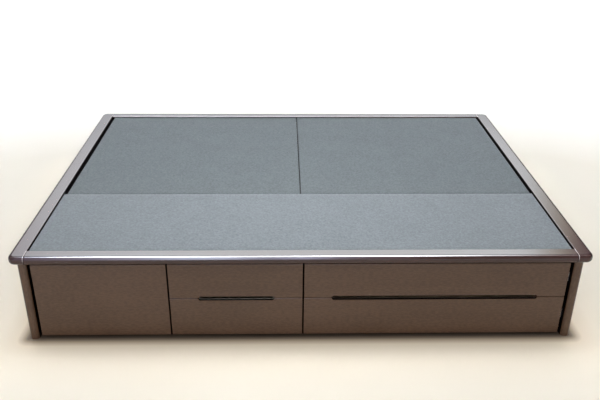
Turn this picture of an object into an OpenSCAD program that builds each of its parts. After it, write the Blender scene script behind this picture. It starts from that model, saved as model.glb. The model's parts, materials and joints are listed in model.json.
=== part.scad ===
// Tatami platform bed: a low chest of drawers and storage wells under a sunk, felted deck.
// X runs along the bed's length (head at -X), -Y is the drawer side, Z is up from the floor.

/* [Deck] */
// Length of the sunk deck inside the rim, for a double mattress
deck_l = 1950; // [1850:10:2150]
// Depth of the sunk deck inside the rim, front to back
deck_w = 1404; // [1300:2:1600]
// How far the felt lies below the rim's top
deck_sink = 5; // [2:1:8]
// Thickness of the deck's boards
board_t = 16; // [12:1:22]
// Thickness of the felt glued round each board
felt_t = 2; // [1:0.5:3]
// Rounding of the felt where it is folded over a board's edge
fold_r = 2.5; // [1.5:0.5:3.5]
// Gap between the fixed board and the rim at each end
deck_end_gap = 4; // [2:0.5:10]

/* [Lids] */
// Gap between the two lids
lid_gap = 4; // [4:0.5:8]
// Rounding of the lids' inner and outer ends, which lets them turn past each other
lid_edge_r = 4; // [3:0.5:4.5]
// Gap between the fixed board and the lids
lid_front_gap = 1.5; // [1:0.5:8]
// Gap between the lids and the back rail
lid_back_gap = 4.5; // [3:0.5:12]
// Finger slot at the head end
finger_slot_head = 14; // [8:1:24]
// Finger slot at the foot end
finger_slot_foot = 10; // [8:1:24]
// Width of the battens under each lid
batten_w = 45; // [30:1:70]
// Thickness of the battens under each lid
batten_t = 20; // [15:1:24]
// Distance of the battens from each other and from the lid's ends
batten_step = 320; // [250:10:330]
// Clearance of the battens' ends from the cleats
batten_gap = 4; // [2:0.5:10]
// Clearance under a closed lid
lid_rest_gap = 0.3; // [0.1:0.1:0.5]
// Pivot pin's distance in from the lid's inner edge
pivot_in = 16; // [14:1:24]
// Pivot pin's distance below the lid's felt
pivot_drop = 10; // [8:0.5:11]
// Diameter of the pivot pins
pin_d = 6; // [5:0.5:8]
// Length of pin held at each end, in the lid and in the fixed piece
pin_grip = 20; // [14:1:30]
// Wall of the pivot bushes
bush_wall = 1.5; // [1:0.25:2]
// Radial clearance of the pins and bushes in the felt
felt_hole_gap = 0.3; // [0.1:0.1:0.8]
// Radial clearance of a pin in its bush
pin_clear = 0.05; // [0.02:0.01:0.08]

/* [Rim] */
// Height of the rim's top above the floor
bed_h = 364; // [352:1:420]
// Thickness of the rim's rails
rim_t = 32; // [28:1:38]
// Width of the head and foot rails
rim_end_w = 58; // [50:1:80]
// Width of the front and back rails
rim_long_w = 52; // [45:1:70]
// How far the rim stands out past the end panels
rim_overhang = 23; // [15:1:30]
// Rounding of the rim's outer edge, above and below
rim_nose_r = 13; // [8:1:14]
// Rounding of the rim's inner top edge
rim_inner_r = 3; // [1:0.5:5]
// Radius of the rim's corners seen from above
rim_corner_r = 27; // [20:1:50]
// Width of the fine groove where the long rails meet the end rails
joint_groove_w = 1.6; // [0.5:0.1:2]
// Depth of that groove
joint_groove_d = 0.5; // [0.2:0.1:1]

/* [Carcass] */
// Thickness of the end panels
end_t = 33; // [25:1:34]
// Rounding of the end panels' upright edges
end_edge_r = 13; // [6:1:16]
// Thickness of the partitions and dividers
panel_t = 18; // [15:1:22]
// Sideways shift of the middle divider and of the lids' joint from the centre
mid_shift = 2; // [-20:1:20]
// Distance of the first divider from the head panel's inner face
plain_bay_l = 490; // [400:5:600]
// Thickness of the storage wells' floors
well_floor_t = 12; // [9:1:18]
// Height of the battens under the wells' floors
bearer_h = 20; // [10:1:30]
// Width of the battens under the wells' floors
bearer_w = 40; // [30:1:60]
// Side of the cleats that carry the deck
cleat = 20; // [15:1:24]
// How far the edges of the lids and of the deck board lie on their cleats
bearing_w = 16; // [10:1:24]
// Gap between the ends of neighbouring cleats
cleat_gap = 1; // [0.5:0.5:4]
// Length of each lid end cleat, which leaves the finger opening between the two
end_cleat_l = 250; // [150:10:300]
// Depth of the front rails, front to back
front_rail_w = 80; // [60:1:100]
// Thickness of the bottom rail
bottom_rail_t = 16; // [12:1:18]
// Height of the bottom rail above the floor
bottom_rail_z = 8; // [4:1:10]
// Thickness of the hollowed board under the lids' joint
bridge_t = 24; // [20:1:30]
// Clearance of the lids' inner edges in the hollow as they swing
swing_gap = 1; // [0.6:0.1:2]
// Width of the strip that a lid rests on beside the hollow
bridge_strip = 16; // [12:1:30]

/* [Fronts] */
// Thickness of the fronts
front_t = 18; // [16:1:20]
// How far the rim's nose stands ahead of the fronts
nose_lead = 30; // [25:1:36]
// Height of the fronts' lower edge above the floor
front_floor_gap = 12; // [8:1:20]
// Height of the joint between upper and lower fronts
split_z = 172.5; // [168:0.5:174]
// Gap between upper and lower fronts
split_gap = 2.5; // [2:0.5:4]
// Gap between neighbouring fronts
front_gap = 5.5; // [3:0.5:8]
// Gap between the fronts and the head panel
head_groove = 10; // [4:0.5:14]
// Gap between the fronts and the foot panel
foot_groove = 12.5; // [4:0.5:14]
// Gap between the fronts and the top rail
top_gap = 2.5; // [2:0.5:4]
// Rounding of the fronts' edges
front_edge_r = 1.5; // [0.5:0.5:3]
// Rounding of the fronts' corners
front_corner_r = 3; // [1:0.5:6]
// Height of the strip of top rail over the fronts
top_rail_t = 13; // [12:1:16]
// Length of the grip slot between the narrow drawers, tip to tip
grip_narrow_l = 282; // [150:1:380]
// Length of the grip slot between the wide drawers, tip to tip
grip_wide_l = 762; // [300:1:860]
// Depth of the grip notch in each front, with 45 degree ends
grip_depth = 7.5; // [6:0.5:10]
// Finger bevel behind each grip notch
grip_bevel = 6; // [4:0.5:12]

/* [Drawers] */
// Length of the drawer boxes and of their runners
box_l = 450; // [400:10:550]
// Room behind the drawer boxes, in front of the long partition
box_rear_gap = 14.5; // [8:0.5:30]
// Height of the drawer sides
side_h = 110; // [90:1:114]
// Thickness of the drawer sides and backs
side_t = 12; // [10:1:15]
// Rounding of the top edges of sides and backs
side_edge_r = 2; // [0.5:0.5:4]
// Thickness of the drawer bottoms
bottom_t = 5; // [4:0.5:8]
// Height of the drawer bottom's groove above the side's lower edge
bottom_rise = 10; // [6:1:14]
// Depth of the groove
groove_d = 6; // [4:0.5:7]
// Clearance of the bottom in its groove
groove_clear = 0.2; // [0.1:0.1:0.4]
// Height of a box's lower edge above its front's lower edge
box_lift = 18; // [16:1:20]

/* [Runners] */
// Thickness of a closed runner, carcass face to drawer side
runner_t = 12.7; // [12.7:0.1:14]
// Height of the carcass member
runner_h = 45; // [40:1:48]
// Thickness of the rolled sheet
sheet = 1.2; // [1:0.1:1.3]
// Diameter of the balls
ball_d = 3.2; // [3:0.1:3.4]
// Clearance round a ball
ball_clear = 0.05; // [0.03:0.01:0.06]
// Gap between the carcass member's web and the middle member's
web_gap = 0.5; // [0.3:0.1:0.6]
// Gap between the middle member's web and the drawer member's lips
member_gap = 0.3; // [0.2:0.05:0.4]
// Depth of the carcass member
outer_depth = 9.5; // [9.3:0.1:9.7]
// How far the runners lie back from the fronts' inner face
runner_setback = 2; // [1:0.5:6]
// Overlap of drawer and bay when a drawer is fully open
open_overlap = 10; // [5:1:60]
// Balls in each row
ball_count = 3; // [2:1:6]
// Distance of a row's first ball from the end of its member
ball_margin = 20; // [15:1:30]
// Distance of the end screw holes from the ends of a member
hole_margin = 40; // [25:1:60]
// Radius of the screw holes in the members
screw_hole_r = 2.3; // [1.5:0.1:3]

/* [Hidden] */
DRAWERS = ["upper_narrow", "lower_narrow", "upper_wide", "lower_wide"];
$fn = 48;
cut = 1;

brown = [0.36, 0.29, 0.235];
wrap = [0.43, 0.36, 0.38];
felt_grey = [0.58, 0.61, 0.64];
birch = [0.80, 0.68, 0.50];
steel = [0.72, 0.73, 0.75];
nylon = [0.90, 0.90, 0.87];

// Outer edges of the rim and of the carcass
rim_x = deck_l / 2 + rim_end_w;
rim_y = deck_w / 2 + rim_long_w;
carcass_x = rim_x - rim_overhang;
carcass_y = rim_y - rim_overhang;
inner_x = carcass_x - end_t;
rim_z = bed_h - rim_t;
mid_x = mid_shift;

// Levels of the deck
felt_z = bed_h - deck_sink;
lid_t = board_t + felt_t;
under_z = felt_z - lid_t;
rest_z = under_z - lid_rest_gap;

// Lines across the bed, front to back
face_y = -rim_y + nose_lead;
bay_y = face_y + front_t;
deck_y0 = -deck_w / 2;
part_y0 = bay_y + box_l + box_rear_gap;
part_y1 = part_y0 + panel_t;
lid_y0 = part_y0 + (panel_t + lid_front_gap) / 2;
lid_y1 = deck_w / 2 - lid_back_gap;
deck_y1 = lid_y0 - lid_front_gap;
back_y1 = carcass_y - end_edge_r;
back_y0 = back_y1 - panel_t;
well_y0 = part_y1 + cleat;
well_y1 = lid_y1 - bearing_w;

// Fixed board along the bed
deck_x = [-deck_l / 2 + deck_end_gap, deck_l / 2 - deck_end_gap];

// Lids along the bed: [start, end, side of the pivot]
head_lid = [-deck_l / 2 + finger_slot_head, mid_x - lid_gap / 2, 1];
foot_lid = [mid_x + lid_gap / 2, deck_l / 2 - finger_slot_foot, -1];
pivot_z = felt_z - pivot_drop;
bush_r = pin_d / 2 + pin_clear + bush_wall;

// Reach of a lid's lower inner edge round its pivot, and the hollow that clears it
low_reach = norm([pivot_in, lid_t - pivot_drop]);
hollow_depth = low_reach - (pivot_z - rest_z) + swing_gap;
hollow_half = lid_gap / 2 + pivot_in + low_reach;
bridge_half = hollow_half + bridge_strip;
part_z = rest_z - hollow_depth;

// Fronts and bays along the bed
divider_x = -inner_x + plain_bay_l;
front_z0 = front_floor_gap;
front_z1 = rim_z - top_rail_t - top_gap;
top_rail_z = rim_z - top_rail_t;
bay_x = [[divider_x + panel_t / 2, mid_x - panel_t / 2], [mid_x + panel_t / 2, inner_x]];
front_x = [[divider_x + front_gap / 2, mid_x - front_gap / 2],
    [mid_x + front_gap / 2, inner_x - foot_groove]];
grip_l = [grip_narrow_l, grip_wide_l];

// Profile of the runners, from the carcass face (u = 0) to the drawer side
race_r = ball_d / 2 + ball_clear;
lip_r = race_r + sheet;
outer_v = runner_h / 2 - lip_r;
inner_v = outer_v - 2 * race_r - sheet;
outer_u = outer_depth - lip_r;
inner_u = 2 * sheet + web_gap + member_gap + lip_r;
travel = box_l - open_overlap;
runner_y0 = bay_y + runner_setback;
runner_y1 = bay_y + box_l;

// ---------- Helpers ----------

// What a rounding of radius r removes at corner p of a flat shape that lies towards s
module corner_cut(p, s, r) {
    c = [p.x + s.x * r, p.y + s.y * r];
    difference() {
        translate([min(p.x - s.x * cut, c.x), min(p.y - s.y * cut, c.y)]) square(r + cut);
        translate(c) circle(r);
    }
}

// Rectangle whose corners have radii r, in the order near-low, far-low, near-high, far-high
module rounded(size, r)
    difference() {
        square(size);
        for (i = [0, 1], j = [0, 1])
            if (r[i + 2 * j] > 0)
                corner_cut([i * size.x, j * size.y], [1 - 2 * i, 1 - 2 * j], r[i + 2 * j]);
    }

// Extrude a (y, z) profile along X, or an (x, z) profile along Y
module along_x(x0, x1) translate([x0, 0, 0]) rotate([90, 0, 90]) linear_extrude(x1 - x0) children();
module along_y(y0, y1) translate([0, y1, 0]) rotate([90, 0, 0]) linear_extrude(y1 - y0) children();

// Box between two corners
module block(a, b) translate(a) cube(b - a);

// Round bar along Y
module rod_y(x, z, r, y0, y1) translate([x, y0, z]) rotate([-90, 0, 0]) cylinder(h = y1 - y0, r = r);

// ---------- Rim ----------

// Rail section with its nose at 0, less a skin above, below and at the nose
module rim_section(w, skin = 0)
    translate([skin, skin]) rounded([w - skin, rim_t - 2 * skin],
        [rim_nose_r - skin, 0, rim_nose_r - skin, rim_inner_r]);

// Rail between the end rails, a little thinner at both ends for the grooves
module long_rim_rail() {
    along_x(-deck_l / 2, deck_l / 2) translate([-rim_y, rim_z])
        rim_section(rim_long_w, joint_groove_d);
    along_x(-deck_l / 2 + joint_groove_w, deck_l / 2 - joint_groove_w) translate([-rim_y, rim_z])
        rim_section(rim_long_w);
}

module front_rim_rail() color(wrap) long_rim_rail();

module back_rim_rail() color(wrap)
    difference() {
        mirror([0, 1, 0]) long_rim_rail();
        pivot_holes();
    }

// End rail, which turns both corners of the rim
module end_rim_rail(side) color(wrap)
    mirror([side > 0 ? 1 : 0, 0, 0]) {
        along_y(-rim_y + rim_corner_r, rim_y - rim_corner_r)
            translate([-rim_x, rim_z]) rim_section(rim_end_w);
        for (m = [0, 1]) mirror([0, m, 0]) {
            translate([-rim_x + rim_corner_r, -rim_y + rim_corner_r, rim_z]) rotate([0, 0, 180])
                rotate_extrude(angle = 90) translate([rim_corner_r, 0]) mirror([1, 0])
                    rounded([rim_corner_r, rim_t], [rim_nose_r, 0, rim_nose_r, 0]);
            along_x(-rim_x + rim_corner_r, -deck_l / 2) translate([-rim_y, rim_z])
                rounded([rim_corner_r, rim_t], [rim_nose_r, 0, rim_nose_r, 0]);
        }
    }

// ---------- Carcass ----------

module end_panel(side) color(brown)
    translate([side > 0 ? inner_x : -carcass_x, -carcass_y, 0]) linear_extrude(rim_z)
        rounded([end_t, 2 * carcass_y], [for (k = [0:3]) end_edge_r]);

module back_panel() color(brown) block([-inner_x, back_y0, 0], [inner_x, back_y1, rim_z]);

module long_partition() color(brown)
    block([-inner_x, part_y0, 0], [inner_x, part_y1, part_z]);

module cross_partition() color(brown)
    block([mid_x - panel_t / 2, part_y1, 0], [mid_x + panel_t / 2, back_y0, rest_z - bridge_t]);

// Board on the cross partition, hollowed so that the lids' inner edges can swing
module lid_bridge() color(brown)
    difference() {
        block([mid_x - bridge_half, part_y1, rest_z - bridge_t], [mid_x + bridge_half, back_y0, rest_z]);
        block([mid_x - hollow_half, part_y1 - cut, rest_z - hollow_depth],
            [mid_x + hollow_half, back_y0 + cut, rest_z + cut]);
    }

// Divider between drawer bays, notched for the front rails and the deck cleat
module divider(x) color(brown)
    difference() {
        block([x - panel_t / 2, bay_y, 0], [x + panel_t / 2, part_y0, under_z]);
        block([x - panel_t, bay_y - cut, top_rail_z], [x + panel_t, bay_y + front_rail_w, under_z + cut]);
        block([x - panel_t, bay_y - cut, bottom_rail_z],
            [x + panel_t, bay_y + front_rail_w, bottom_rail_z + bottom_rail_t]);
        block([x - panel_t, part_y0 - cleat, under_z - cleat], [x + panel_t, part_y0 + cut, under_z + cut]);
    }

// Notch out the room of the rim's end rails and back rail
module clear_of_rim()
    difference() {
        children();
        for (s = [-1, 1])
            block([s > 0 ? deck_l / 2 : -rim_x, -rim_y, rim_z], [s > 0 ? rim_x : -deck_l / 2, rim_y, bed_h]);
        block([-rim_x, deck_w / 2, rim_z], [rim_x, rim_y, bed_h]);
    }

// Rebated rail: its front strip shows over the fronts, and its back carries the deck board
module front_top_rail() color(brown) clear_of_rim()
    along_x(-inner_x, inner_x) polygon([
        [bay_y, top_rail_z], [bay_y + front_rail_w, top_rail_z], [bay_y + front_rail_w, under_z],
        [deck_y0, under_z], [deck_y0, rim_z], [face_y + front_edge_r, rim_z],
        [face_y + front_edge_r, top_rail_z]]);

module front_bottom_rail() color(brown)
    block([-inner_x, bay_y, bottom_rail_z],
        [inner_x, bay_y + front_rail_w, bottom_rail_z + bottom_rail_t]);

module well_floor(x0, x1) color(birch)
    block([x0, part_y1, bearer_h], [x1, back_y0, bearer_h + well_floor_t]);

module floor_bearers() color(birch)
    for (x = [[-inner_x, mid_x - panel_t / 2], [mid_x + panel_t / 2, inner_x]], k = [0:2]) {
        y = part_y1 + (back_y0 - part_y1 - bearer_w) * k / 2;
        block([x[0], y, 0], [x[1], y + bearer_w, bearer_h]);
    }

// Battens screwed to the panels, under the edges of the deck board and of the lids
module deck_cleats() color(brown) clear_of_rim() {
    block([-inner_x, part_y0 - cleat, under_z - cleat], [inner_x, part_y0, under_z]);
    for (x = [[-inner_x, deck_x[0] + bearing_w], [deck_x[1] - bearing_w, inner_x]])
        block([x[0], bay_y + front_rail_w + cleat_gap, under_z - cleat],
            [x[1], part_y0 - cleat - cleat_gap, under_z]);
    for (x = [[-inner_x, head_lid[0] + bearing_w], [foot_lid[1] - bearing_w, inner_x]],
            y = [well_y0 + cleat_gap, well_y1 - cleat_gap - end_cleat_l])
        block([x[0], y, rest_z - cleat], [x[1], y + end_cleat_l, rest_z]);
    for (x = [[-inner_x, mid_x - bridge_half], [mid_x + bridge_half, inner_x]],
            y = [[part_y1, well_y0], [well_y1, back_y0]])
        block([x[0], y[0], rest_z - cleat], [x[1], y[1], rest_z]);
}

// ---------- Deck ----------

// Felted board less a skin, its top edges rounded by end_r at the ends and by fold_r front and back
module deck_shape(x, y, end_r, skin) {
    size = [x[1] - x[0] - 2 * skin, y[1] - y[0] - 2 * skin];
    intersection() {
        along_y(y[0] + skin, y[1] - skin) translate([x[0] + skin, under_z])
            rounded([size.x, lid_t - skin], [0, 0, end_r - skin, end_r - skin]);
        along_x(x[0] + skin, x[1] - skin) translate([y[0] + skin, under_z])
            rounded([size.y, lid_t - skin], [0, 0, fold_r - skin, fold_r - skin]);
    }
}

module board(x, y, end_r) color(birch) deck_shape(x, y, end_r, felt_t);

// Felt over the top and down the four edges of a board
module felt(x, y, end_r) color(felt_grey)
    difference() {
        deck_shape(x, y, end_r, 0);
        deck_shape(x, y, end_r, felt_t);
        block([x[0] + felt_t, y[0] + felt_t, under_z - cut], [x[1] - felt_t, y[1] - felt_t, under_z + cut]);
    }

function pivot_x(lid) = lid[2] > 0 ? lid[1] - pivot_in : lid[0] + pivot_in;

// Ends of the pins, front and back: [start, end]
pin_y = [[deck_y1 - pin_grip, lid_y0 + pin_grip], [lid_y1 - pin_grip, deck_w / 2 + pin_grip]];

module pivot_pins(r)
    for (lid = [head_lid, foot_lid], y = pin_y) rod_y(pivot_x(lid), pivot_z, r, y[0], y[1]);

// Holes for the pins in the fixed pieces
module pivot_holes(gap = 0) pivot_pins(pin_d / 2 + gap);

// Seats of a lid's bushes, open at the lid's front and back edges
module bush_seats(lid, gap = 0)
    for (y = [[lid_y0 - cut, lid_y0 + pin_grip], [lid_y1 - pin_grip, lid_y1 + cut]])
        rod_y(pivot_x(lid), pivot_z, bush_r + gap, y[0], y[1]);

module deck_board() color(birch)
    difference() {
        board(deck_x, [deck_y0, deck_y1], fold_r);
        pivot_holes();
    }

module deck_felt() color(felt_grey)
    difference() {
        felt(deck_x, [deck_y0, deck_y1], fold_r);
        pivot_holes(felt_hole_gap);
    }

module lid_board(lid) color(birch)
    difference() {
        board(lid, [lid_y0, lid_y1], lid_edge_r);
        bush_seats(lid);
    }

module lid_felt(lid) color(felt_grey)
    difference() {
        felt(lid, [lid_y0, lid_y1], lid_edge_r);
        bush_seats(lid, felt_hole_gap);
    }

// Battens that stiffen a lid, counted from its free end
module lid_battens(lid) color(birch)
    for (k = [1, 2]) {
        x = lid[2] > 0 ? lid[0] + k * batten_step : lid[1] - k * batten_step;
        block([x - batten_w / 2, well_y0 + batten_gap, under_z - batten_t],
            [x + batten_w / 2, well_y1 - batten_gap, under_z]);
    }

module lid_bushes(lid) color(nylon)
    for (y = [[lid_y0, lid_y0 + pin_grip], [lid_y1 - pin_grip, lid_y1]])
        difference() {
            rod_y(pivot_x(lid), pivot_z, bush_r, y[0], y[1]);
            rod_y(pivot_x(lid), pivot_z, pin_d / 2 + pin_clear, y[0] - cut, y[1] + cut);
        }

module lid_pivot_pins() color(steel) pivot_pins(pin_d / 2);

// ---------- Fronts ----------

// Front with eased edges
module front_blank(x, z)
    intersection() {
        translate([0, 0, z[0]]) linear_extrude(z[1] - z[0]) translate([x[0], face_y])
            rounded([x[1] - x[0], front_t], [front_edge_r, front_edge_r, 0, 0]);
        along_x(x[0], x[1]) translate([face_y, z[0]])
            rounded([front_t, z[1] - z[0]], [front_edge_r, 0, front_edge_r, 0]);
        along_y(face_y, bay_y) translate([x[0], z[0]])
            rounded([x[1] - x[0], z[1] - z[0]], [for (k = [0:3]) front_corner_r]);
    }

module plain_front() color(brown)
    front_blank([-inner_x + head_groove, divider_x - front_gap / 2], [front_z0, front_z1]);

function is_upper(d) = d % 2 == 0;
function column(d) = floor(d / 2);
function front_z(d) = is_upper(d) ? [split_z + split_gap / 2, front_z1]
    : [front_z0, split_z - split_gap / 2];
function box_x(d) = [bay_x[column(d)][0] + runner_t, bay_x[column(d)][1] - runner_t];
function box_z(d) = front_z(d)[0] + box_lift;

// Half of the grip slot: a notch with 45 degree ends, bevelled behind for the fingers
module grip_notch(x_mid, length, z, up) {
    half = length / 2;
    top = up * grip_depth;
    translate([0, 0, z]) {
        along_y(face_y - cut, bay_y + cut) polygon([
            [x_mid - half, 0], [x_mid - half + grip_depth, top], [x_mid + half - grip_depth, top],
            [x_mid + half, 0], [x_mid + half, -up * cut], [x_mid - half, -up * cut]]);
        along_x(x_mid - half + grip_depth, x_mid + half - grip_depth) polygon([
            [bay_y + cut, -up * cut], [bay_y + cut, top + up * (grip_bevel + cut)],
            [bay_y - grip_bevel, top], [bay_y - grip_bevel, -up * cut]]);
    }
}

module drawer_front(d) color(brown) {
    x = front_x[column(d)];
    z = front_z(d);
    difference() {
        front_blank(x, z);
        grip_notch((x[0] + x[1]) / 2, grip_l[column(d)], is_upper(d) ? z[0] : z[1], is_upper(d) ? 1 : -1);
        bottom_slot(d, bay_y - groove_d, bay_y + cut);
    }
}

// ---------- Drawer boxes ----------

// Room for the bottom panel, with its clearance
module bottom_slot(d, y0, y1) {
    x = box_x(d);
    z = box_z(d) + bottom_rise;
    block([x[0] + side_t - groove_d, y0, z], [x[1] - side_t + groove_d, y1, z + bottom_t + groove_clear]);
}

module drawer_side(d, right) color(birch) {
    x = right ? box_x(d)[1] - side_t : box_x(d)[0];
    difference() {
        along_y(bay_y, bay_y + box_l) translate([x, box_z(d)])
            rounded([side_t, side_h], [0, 0, side_edge_r, side_edge_r]);
        bottom_slot(d, bay_y - cut, bay_y + box_l + cut);
    }
}

module drawer_back(d) color(birch)
    along_x(box_x(d)[0] + side_t, box_x(d)[1] - side_t)
        translate([bay_y + box_l - side_t, box_z(d) + bottom_rise + bottom_t])
            rounded([side_t, side_h - bottom_rise - bottom_t], [0, 0, side_edge_r, side_edge_r]);

module drawer_bottom(d) color(birch)
    block([box_x(d)[0] + side_t - groove_d + groove_clear, bay_y - groove_d + groove_clear,
            box_z(d) + bottom_rise],
        [box_x(d)[1] - side_t + groove_d - groove_clear, bay_y + box_l,
            box_z(d) + bottom_rise + bottom_t]);

// ---------- Runners ----------

// Quarter of a rolled race round a ball at c, towards s
module race(c, s)
    intersection() {
        translate(c) difference() {
            circle(lip_r);
            circle(race_r);
        }
        translate([min(c.x, c.x + s.x * lip_r), min(c.y, c.y + s.y * lip_r)]) square(lip_r);
    }

// Channel that opens towards the drawer, its flanges rolled over the balls at (u, v)
module channel(web_u, u, v) {
    translate([web_u, -v - lip_r]) square([sheet, 2 * (v + lip_r)]);
    for (s = [-1, 1]) {
        translate([web_u, s > 0 ? v + race_r : -v - lip_r]) square([u - web_u, sheet]);
        race([u, s * v], [1, s]);
    }
}

// Drawer member: a channel that opens towards the carcass, its flanges rolled under the balls
module drawer_channel() {
    leg = inner_v - race_r;
    translate([runner_t - sheet, -leg]) square([sheet, 2 * leg]);
    for (s = [-1, 1]) {
        translate([inner_u, s > 0 ? leg - sheet : -leg]) square([runner_t - inner_u, sheet]);
        race([inner_u, s * inner_v], [-1, -s]);
    }
}

// Set a runner's profile on both walls of a drawer's bay
module on_both_walls(d)
    for (right = [0, 1])
        translate([bay_x[column(d)][right], 0, box_z(d) + side_h / 2]) mirror([right, 0, 0]) children();

// Screw holes through a member's web, along X
module web_holes(u)
    for (y = [runner_y0 + hole_margin, (runner_y0 + runner_y1) / 2, runner_y1 - hole_margin])
        translate([u - cut, y, 0]) rotate([0, 90, 0]) cylinder(h = sheet + 2 * cut, r = screw_hole_r);

module carcass_runners() color(steel)
    for (d = [0:3]) on_both_walls(d)
        difference() {
            along_y(runner_y0, runner_y1) channel(0, outer_u, outer_v);
            web_holes(0);
        }

// Middle member with its balls: the outer rows stay in its back half, the inner rows in its front half
module middle_runners(d) color(steel)
    on_both_walls(d) {
        web = sheet + web_gap;
        along_y(runner_y0, runner_y1) channel(web, inner_u, inner_v);
        for (s = [-1, 1], k = [0:ball_count - 1]) {
            step = (box_l - travel / 2 - 2 * ball_margin) / ball_count;
            translate([outer_u, runner_y1 - ball_margin - k * step, s * outer_v]) sphere(ball_d / 2);
            translate([inner_u, runner_y0 + ball_margin + k * step, s * inner_v]) sphere(ball_d / 2);
        }
    }

module drawer_runners(d) color(steel)
    on_both_walls(d)
        difference() {
            along_y(runner_y0, runner_y1) drawer_channel();
            web_holes(runner_t - sheet);
        }

// ---------- Assembly ----------

end_panel(-1);  // head_end_panel
end_panel(1);  // foot_end_panel
back_panel();
long_partition();
cross_partition();
lid_bridge();
plain_front();
divider(divider_x);  // head_divider
divider(mid_x);  // middle_divider
front_top_rail();
front_bottom_rail();
well_floor(-inner_x, mid_x - panel_t / 2);  // head_well_floor
well_floor(mid_x + panel_t / 2, inner_x);  // foot_well_floor
floor_bearers();
deck_cleats();
front_rim_rail();
back_rim_rail();
end_rim_rail(-1);  // head_rim_rail
end_rim_rail(1);  // foot_rim_rail
deck_board();
deck_felt();
lid_pivot_pins();
carcass_runners();
lid_board(head_lid);  // head_lid_board
lid_felt(head_lid);  // head_lid_felt
lid_battens(head_lid);  // head_lid_battens
lid_bushes(head_lid);  // head_lid_bushes
lid_board(foot_lid);  // foot_lid_board
lid_felt(foot_lid);  // foot_lid_felt
lid_battens(foot_lid);  // foot_lid_battens
lid_bushes(foot_lid);  // foot_lid_bushes
for (d = [0:3]) {
    drawer_front(d);
    drawer_side(d, false);
    drawer_side(d, true);
    drawer_back(d);
    drawer_bottom(d);
    middle_runners(d);
    drawer_runners(d);
}
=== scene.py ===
import json
import math

import bpy
from mathutils import Euler, Matrix, Vector


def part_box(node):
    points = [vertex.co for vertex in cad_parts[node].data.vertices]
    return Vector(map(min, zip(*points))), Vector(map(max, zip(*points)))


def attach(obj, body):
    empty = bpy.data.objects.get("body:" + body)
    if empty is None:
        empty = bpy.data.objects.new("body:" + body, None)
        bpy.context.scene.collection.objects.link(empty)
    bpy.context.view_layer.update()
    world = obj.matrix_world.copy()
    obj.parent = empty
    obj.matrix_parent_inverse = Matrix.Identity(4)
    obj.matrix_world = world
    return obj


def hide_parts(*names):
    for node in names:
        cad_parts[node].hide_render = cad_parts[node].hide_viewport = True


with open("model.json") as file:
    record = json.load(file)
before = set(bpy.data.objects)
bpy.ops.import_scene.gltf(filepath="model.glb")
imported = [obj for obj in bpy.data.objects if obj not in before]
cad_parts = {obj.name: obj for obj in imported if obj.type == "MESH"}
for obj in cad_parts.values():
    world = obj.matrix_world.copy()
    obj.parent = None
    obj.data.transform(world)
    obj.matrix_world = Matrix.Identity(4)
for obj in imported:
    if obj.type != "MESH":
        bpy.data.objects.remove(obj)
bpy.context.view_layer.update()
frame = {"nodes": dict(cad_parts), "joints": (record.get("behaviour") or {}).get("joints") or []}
nodes = frame["nodes"]
drawers = ["upper_narrow", "lower_narrow", "upper_wide", "lower_wide"]
print("frame loaded:", len(nodes), "nodes")


# camera, as the bed was photographed
cameraSetup = {"place": (-0.072, -2.884, 1.640), "pitch": 26.30, "yaw": 1.55, "roll": 0.58, "lens": 42.5,
               "sensor": 36}


def addCamera():
    pitch, yaw, roll = (math.radians(cameraSetup[part]) for part in ("pitch", "yaw", "roll"))
    ahead = Vector((math.sin(yaw) * math.cos(pitch), math.cos(yaw) * math.cos(pitch), -math.sin(pitch)))
    right = Vector((math.cos(yaw), -math.sin(yaw), 0))
    up = right.cross(ahead)
    across = math.cos(roll) * right + math.sin(roll) * up
    upward = math.cos(roll) * up - math.sin(roll) * right
    data = bpy.data.cameras.new("camera")
    data.lens = cameraSetup["lens"]
    data.sensor_width = cameraSetup["sensor"]
    camera = bpy.data.objects.new("camera", data)
    bpy.context.scene.collection.objects.link(camera)
    turn = Matrix((across, upward, -ahead)).transposed().to_4x4()
    camera.matrix_world = Matrix.Translation(cameraSetup["place"]) @ turn
    bpy.context.scene.camera = camera


addCamera()
bpy.context.scene.view_settings.view_transform = "Standard"
print("camera set")


# small helpers for shader nodes
def addNode(tree, kind, inputs=None, **fields):
    node = tree.nodes.new(kind)
    for name, value in fields.items():
        setattr(node, name, value)
    for name, value in (inputs or {}).items():
        if isinstance(value, bpy.types.NodeSocket):
            tree.links.new(value, node.inputs[name])
        else:
            node.inputs[name].default_value = value
    return node


def maths(tree, operation, a, b=0.0):
    return addNode(tree, "ShaderNodeMath", {0: a, 1: b}, operation=operation).outputs[0]


def times(tree, a, b):
    return maths(tree, "MULTIPLY", a, b)


def plus(tree, a, b):
    return maths(tree, "ADD", a, b)


def larger(tree, a, b):
    return maths(tree, "MAXIMUM", a, b)


def unsigned(tree, value):
    return maths(tree, "ABSOLUTE", value)


def above(tree, value, limit):
    return maths(tree, "GREATER_THAN", value, limit)


def below(tree, value, limit):
    return maths(tree, "LESS_THAN", value, limit)


def within(tree, value, low, high):
    return times(tree, above(tree, value, low), below(tree, value, high))


def vectorMaths(tree, operation, a, b=(0, 0, 0)):
    node = addNode(tree, "ShaderNodeVectorMath", {0: a, 1: b}, operation=operation)
    return node.outputs["Value" if operation in ("LENGTH", "DOT_PRODUCT") else "Vector"]


def axes(tree, vector):
    return addNode(tree, "ShaderNodeSeparateXYZ", {0: vector}).outputs


def surfaceNormal(tree):
    return addNode(tree, "ShaderNodeNewGeometry").outputs["Normal"]


def spread(tree, value, low, high, toLow=0.0, toHigh=1.0):
    node = addNode(tree, "ShaderNodeMapRange", {"Value": value, "From Min": low, "From Max": high,
                                                "To Min": toLow, "To Max": toHigh})
    return node.outputs["Result"]


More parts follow.
